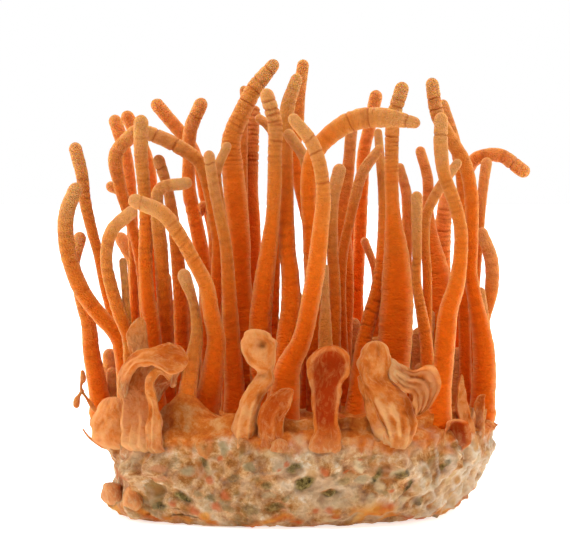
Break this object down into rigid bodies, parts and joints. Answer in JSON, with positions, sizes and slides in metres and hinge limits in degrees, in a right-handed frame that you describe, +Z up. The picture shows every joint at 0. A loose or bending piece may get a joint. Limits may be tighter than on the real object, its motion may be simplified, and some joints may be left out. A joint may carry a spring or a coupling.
{
  "type": "cordyceps bunch",
  "caption": "Cultivated cordyceps bunch: a round grain cake bound by mycelium, covered with tall orange club-shaped fruiting bodies and curled lobes at its rim.",
  "frame": {"origin": "middle of the flat underside that the cake rests on", "axes": "+Z up along the fruiting bodies, -Y towards the front with the curled rim lobes, +X to the right seen from the front"},
  "size_m": [0.0998, 0.0819, 0.0958],
  "materials": {
    "grain_cake": "matte",
    "stroma_flesh": "matte",
    "lobe_flesh": "matte"
  },
  "bodies": {
    "root": {"substrate_cake": "grain_cake", "stroma_01": "stroma_flesh", "stroma_02": "stroma_flesh", "stroma_03": "stroma_flesh", "stroma_04": "stroma_flesh", "stroma_05": "stroma_flesh", "stroma_06": "stroma_flesh", "stroma_07": "stroma_flesh", "stroma_08": "stroma_flesh", "stroma_09": "stroma_flesh", "stroma_10": "stroma_flesh", "stroma_11": "stroma_flesh", "stroma_12": "stroma_flesh", "stroma_13": "stroma_flesh", "stroma_14": "stroma_flesh", "stroma_15": "stroma_flesh", "stroma_16": "stroma_flesh", "stroma_17": "stroma_flesh", "stroma_18": "stroma_flesh", "stroma_19": "stroma_flesh", "stroma_20": "stroma_flesh", "stroma_21": "stroma_flesh", "stroma_22": "stroma_flesh", "stroma_23": "stroma_flesh", "stroma_24": "stroma_flesh", "stroma_25": "stroma_flesh", "stroma_26": "stroma_flesh", "stroma_27": "stroma_flesh", "stroma_28": "stroma_flesh", "stroma_29": "stroma_flesh", "stroma_30": "stroma_flesh", "stroma_31": "stroma_flesh", "stroma_32": "stroma_flesh", "stroma_33": "stroma_flesh", "stroma_34": "stroma_flesh", "stroma_35": "stroma_flesh", "stroma_36": "stroma_flesh", "stroma_37": "stroma_flesh", "stroma_38": "stroma_flesh", "stroma_39": "stroma_flesh", "stroma_40": "stroma_flesh", "stroma_41": "stroma_flesh", "stroma_42": "stroma_flesh", "stroma_43": "stroma_flesh", "stroma_44": "stroma_flesh", "stroma_45": "stroma_flesh", "stroma_46": "stroma_flesh", "stroma_47": "stroma_flesh", "stroma_48": "stroma_flesh", "lobe_hood": "lobe_flesh", "lobe_back_ear": "lobe_flesh", "lobe_knob": "lobe_flesh", "lobe_hook": "lobe_flesh", "lobe_spoon": "lobe_flesh", "lobe_ear": "lobe_flesh", "lobe_right_fold": "lobe_flesh", "lobe_right_sprout": "lobe_flesh", "lobe_rear_left": "lobe_flesh", "lobe_rear_middle": "lobe_flesh", "lobe_rear_right": "lobe_flesh"}
  },
  "joints": []
}
